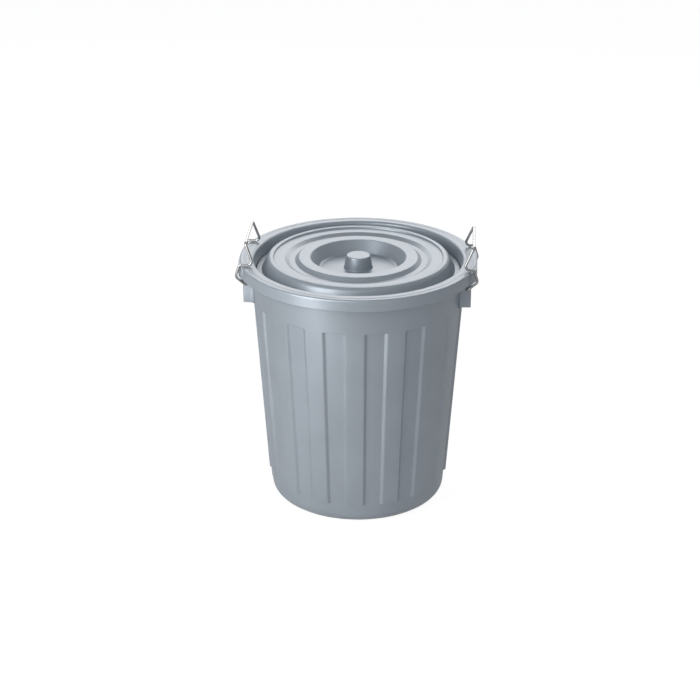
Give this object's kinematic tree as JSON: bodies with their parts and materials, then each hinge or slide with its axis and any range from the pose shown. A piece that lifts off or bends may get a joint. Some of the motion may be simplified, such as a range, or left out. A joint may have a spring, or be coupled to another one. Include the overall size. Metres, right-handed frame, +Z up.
{
  "type": "plastic pail with lid",
  "caption": "Tapered moulded plastic pail with sunk flutes, a lid recessed inside the rim, and bent wire handles that swing in lugs under the rim.",
  "frame": {"origin": "centre of the foot, on the floor", "axes": "+Z up along the pail's axis, the handles at +X and -X, and -Y the front"},
  "size_m": [0.3782, 0.3728, 0.4387],
  "materials": {
    "tub": "satin silver-grey, injection moulded",
    "lid": "satin silver-grey, injection moulded",
    "wire": "bright drawn wire"
  },
  "bodies": {
    "pail": {"tub": "tub"},
    "cover": {"lid": "lid"},
    "grip_right": {"handle_right": "wire"},
    "grip_left": {"handle_left": "wire"}
  },
  "joints": [
    {"name": "lid_lift", "type": "slide", "parent": "pail", "child": "cover", "axis": [0, 0, 1], "range_m": [0, 0.12]},
    {"name": "grip_right_swing", "type": "hinge", "parent": "pail", "child": "grip_right", "pos_m": [0.1716, 0, 0.3675], "axis": [0, 1, 0], "range_deg": [0, 155]},
    {"name": "grip_left_swing", "type": "hinge", "parent": "pail", "child": "grip_left", "pos_m": [-0.1716, 0, 0.3675], "axis": [0, -1, 0], "range_deg": [0, 155]}
  ]
}
